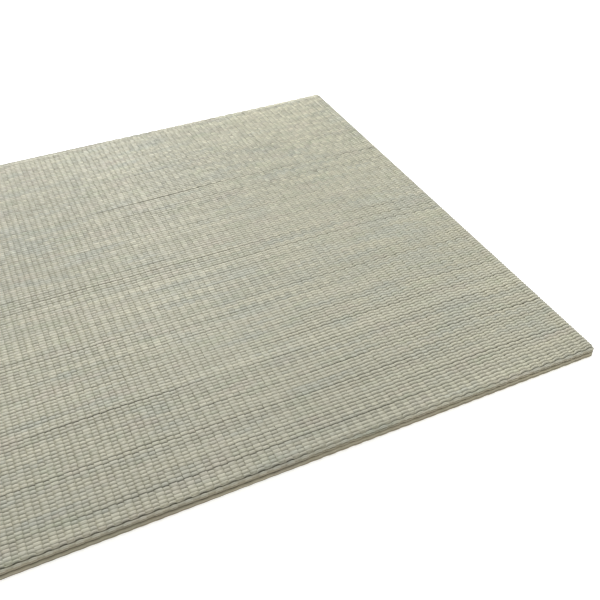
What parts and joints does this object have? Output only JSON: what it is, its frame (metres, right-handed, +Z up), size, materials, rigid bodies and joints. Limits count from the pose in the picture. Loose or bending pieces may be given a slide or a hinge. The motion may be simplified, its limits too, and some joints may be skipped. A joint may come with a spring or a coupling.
{
  "type": "tatami mat",
  "caption": "Square borderless floor mat of thick woven rush, ribbed from the near edge to the far edge, with the weave folded down over soft edges to a flat underside.",
  "frame": {"origin": "middle of the flat underside", "axes": "+Z up out of the woven top, X along the rush strands, Y along the warps and ribs, -Y towards the edge nearest the camera"},
  "size_m": [0.7, 0.7, 0.015],
  "materials": {
    "rush": "woven dried rush, silver-green with soft beige and blue-grey streaks, matte with a slight silky sheen along the strands"
  },
  "bodies": {
    "root": {"rush_mat": "rush"}
  },
  "joints": []
}
